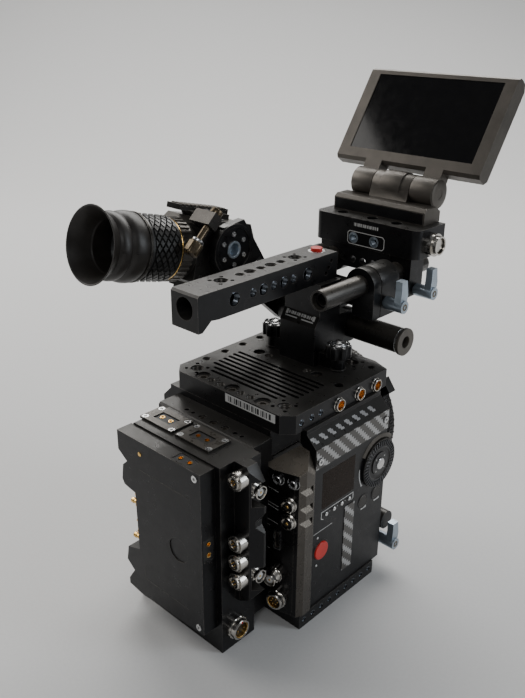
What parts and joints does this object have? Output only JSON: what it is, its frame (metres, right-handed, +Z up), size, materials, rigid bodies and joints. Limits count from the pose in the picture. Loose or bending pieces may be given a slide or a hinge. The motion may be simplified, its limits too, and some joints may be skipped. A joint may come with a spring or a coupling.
{
  "type": "cinema camera rig",
  "caption": "Black cinema camera body with side controls, rear power box and battery plate, top handle, rods with a tilting monitor, and a viewfinder on a side arm",
  "frame": {"origin": "tripod thread in the underside of the base plate", "axes": "+X to the camera's right, +Y forward along the lens axis, +Z up"},
  "size_m": [0.1816, 0.3095, 0.3586],
  "materials": {
    "black_anodised": "satin",
    "graphite_anodised": "satin",
    "warm_grey_metal": "satin",
    "carbon_weave": "satin",
    "bright_steel": "satin",
    "nickel_fittings": "satin",
    "blue_grey_metal": "satin",
    "bare_aluminium": "matt",
    "gold_contacts": "polished",
    "black_plastic": "matt",
    "red_plastic": "gloss",
    "soft_rubber": "matt",
    "dark_glass": "gloss",
    "lens_glass": "gloss",
    "circuit_green": "matt",
    "bronze_knob": "satin"
  },
  "bodies": {
    "camera": {"base_plate": "black_anodised", "body_shell": "black_anodised", "carbon_panels": "carbon_weave", "side_window": "dark_glass", "cap_screws": "bright_steel", "lens_mount": "graphite_anodised", "sensor_module": "dark_glass", "circuit_boards": "circuit_green", "cooler": "bare_aluminium", "accessory_plate": "black_anodised", "round_sockets": "nickel_fittings", "bnc_sockets": "nickel_fittings", "power_sockets": "nickel_fittings", "signal_ports": "bright_steel", "expander_housing": "black_anodised", "port_module": "graphite_anodised", "power_box": "black_anodised", "tap_plates": "graphite_anodised", "tap_inserts": "black_plastic", "battery_plate": "black_anodised", "contact_blades": "gold_contacts", "tower": "black_anodised", "top_handle": "black_anodised", "cross_tube": "graphite_anodised", "tube_cap": "warm_grey_metal", "rod_bridge": "black_anodised", "support_rods": "graphite_anodised", "base_rod_bracket": "black_anodised"},
    "dial_ring_part": {"dial_ring": "black_anodised"},
    "dial_button_part": {"dial_button": "bright_steel"},
    "soft_key_1_part": {"soft_key_1": "bright_steel"},
    "soft_key_2_part": {"soft_key_2": "bright_steel"},
    "soft_key_3_part": {"soft_key_3": "bright_steel"},
    "soft_key_4_part": {"soft_key_4": "bright_steel"},
    "user_button_a_part": {"user_button_a": "graphite_anodised"},
    "user_button_b_part": {"user_button_b": "graphite_anodised"},
    "record_button_part": {"record_button": "red_plastic"},
    "handle_button_part": {"handle_button": "red_plastic"},
    "thumb_screw_right_part": {"thumb_screw_right": "black_anodised"},
    "thumb_screw_left_part": {"thumb_screw_left": "black_anodised"},
    "rear_lever_part": {"rear_lever": "blue_grey_metal"},
    "front_lever_part": {"front_lever": "blue_grey_metal"},
    "base_lever_part": {"base_lever": "blue_grey_metal"},
    "mount_collar_part": {"mount_collar": "black_anodised"},
    "battery_catch_part": {"battery_catch": "black_plastic"},
    "fan_rotor_part": {"fan_rotor": "black_plastic"},
    "finder_arm_part": {"finder_arm": "black_anodised"},
    "focus_ring_part": {"focus_ring": "soft_rubber"},
    "finder_knob_part": {"finder_knob": "bronze_knob"},
    "rod_bracket": {"bracket_box": "black_anodised", "front_rod_clamp": "black_anodised", "bracket_socket": "nickel_fittings", "hinge_base": "warm_grey_metal", "hinge_pin": "bright_steel"},
    "monitor": {"monitor_frame": "warm_grey_metal", "monitor_glass": "dark_glass", "monitor_panel": "black_plastic"},
    "viewfinder": {"finder_body": "graphite_anodised", "eyecup": "soft_rubber", "eyepiece_lens": "lens_glass"}
  },
  "joints": [
    {"name": "dial_turn", "type": "hinge", "parent": "camera", "child": "dial_ring_part", "pos_m": [0.0675, 0.0411, 0.1006], "axis": [1, 0, 0], "continuous": true},
    {"name": "dial_press", "type": "slide", "parent": "camera", "child": "dial_button_part", "axis": [-1, 0, 0], "range_m": [0, 0.0007], "stiffness_N_per_m": 600},
    {"name": "soft_key_1_press", "type": "slide", "parent": "camera", "child": "soft_key_1_part", "axis": [-1, 0, 0], "range_m": [0, 0.0005], "stiffness_N_per_m": 600},
    {"name": "soft_key_2_press", "type": "slide", "parent": "camera", "child": "soft_key_2_part", "axis": [-1, 0, 0], "range_m": [0, 0.0005], "stiffness_N_per_m": 600},
    {"name": "soft_key_3_press", "type": "slide", "parent": "camera", "child": "soft_key_3_part", "axis": [-1, 0, 0], "range_m": [0, 0.0005], "stiffness_N_per_m": 600},
    {"name": "soft_key_4_press", "type": "slide", "parent": "camera", "child": "soft_key_4_part", "axis": [-1, 0, 0], "range_m": [0, 0.0005], "stiffness_N_per_m": 600},
    {"name": "user_a_press", "type": "slide", "parent": "camera", "child": "user_button_a_part", "axis": [-1, 0, 0], "range_m": [0, 0.0005], "stiffness_N_per_m": 600},
    {"name": "user_b_press", "type": "slide", "parent": "camera", "child": "user_button_b_part", "axis": [-1, 0, 0], "range_m": [0, 0.0005], "stiffness_N_per_m": 600},
    {"name": "record_press", "type": "slide", "parent": "camera", "child": "record_button_part", "axis": [-1, 0, 0], "range_m": [0, 0.0008], "stiffness_N_per_m": 600},
    {"name": "handle_record_press", "type": "slide", "parent": "camera", "child": "handle_button_part", "axis": [0, 0, -1], "range_m": [0, 0.0009], "stiffness_N_per_m": 600},
    {"name": "thumb_screw_right_turn", "type": "hinge", "parent": "camera", "child": "thumb_screw_right_part", "pos_m": [0.031, 0.035, 0.18], "axis": [0, 0, 1], "continuous": true},
    {"name": "thumb_screw_left_turn", "type": "hinge", "parent": "camera", "child": "thumb_screw_left_part", "pos_m": [-0.031, 0.035, 0.18], "axis": [0, 0, 1], "continuous": true},
    {"name": "rear_lever_turn", "type": "hinge", "parent": "camera", "child": "rear_lever_part", "pos_m": [0.0434, 0.0715, 0.211], "axis": [1, 0, 0], "range_deg": [-30, 30]},
    {"name": "front_lever_turn", "type": "hinge", "parent": "rod_bracket", "child": "front_lever_part", "pos_m": [0.0434, 0.11, 0.2115], "axis": [1, 0, 0], "range_deg": [-30, 30]},
    {"name": "base_lever_turn", "type": "hinge", "parent": "camera", "child": "base_lever_part", "pos_m": [0.0586, 0.063, 0.0195], "axis": [1, 0, 0], "range_deg": [-35, 35]},
    {"name": "mount_collar_turn", "type": "hinge", "parent": "camera", "child": "mount_collar_part", "pos_m": [0, 0.075, 0.109], "axis": [0, 1, 0], "range_deg": [0, 45]},
    {"name": "battery_catch_press", "type": "slide", "parent": "camera", "child": "battery_catch_part", "axis": [0, 0, -1], "range_m": [0, 0.002], "stiffness_N_per_m": 500},
    {"name": "fan_spin", "type": "hinge", "parent": "camera", "child": "fan_rotor_part", "pos_m": [0, -0.011, 0.065], "axis": [0, 0, 1], "continuous": true},
    {"name": "bracket_slide", "type": "slide", "parent": "camera", "child": "rod_bracket", "axis": [0, 1, 0], "range_m": [-0.01, 0.01]},
    {"name": "monitor_tilt", "type": "hinge", "parent": "rod_bracket", "child": "monitor", "pos_m": [0, 0.141, 0.2773], "axis": [1, 0, 0], "range_deg": [-45, 75]},
    {"name": "finder_arm_swing", "type": "hinge", "parent": "camera", "child": "finder_arm_part", "pos_m": [-0.042, 0.072, 0.1852], "axis": [1, 0, 0], "range_deg": [-15, 10]},
    {"name": "finder_tilt", "type": "hinge", "parent": "finder_arm_part", "child": "viewfinder", "pos_m": [-0.055, 0.01132, 0.24304], "axis": [1, 0, 0], "range_deg": [-20, 20]},
    {"name": "focus_turn", "type": "hinge", "parent": "viewfinder", "child": "focus_ring_part", "pos_m": [-0.08, 0.018, 0.2346], "axis": [0, -0.9711, 0.2385], "range_deg": [-60, 60]},
    {"name": "finder_knob_turn", "type": "hinge", "parent": "viewfinder", "child": "finder_knob_part", "pos_m": [-0.049, -0.01681, 0.26477], "axis": [0, 0.729, 0.6845], "continuous": true}
  ]
}
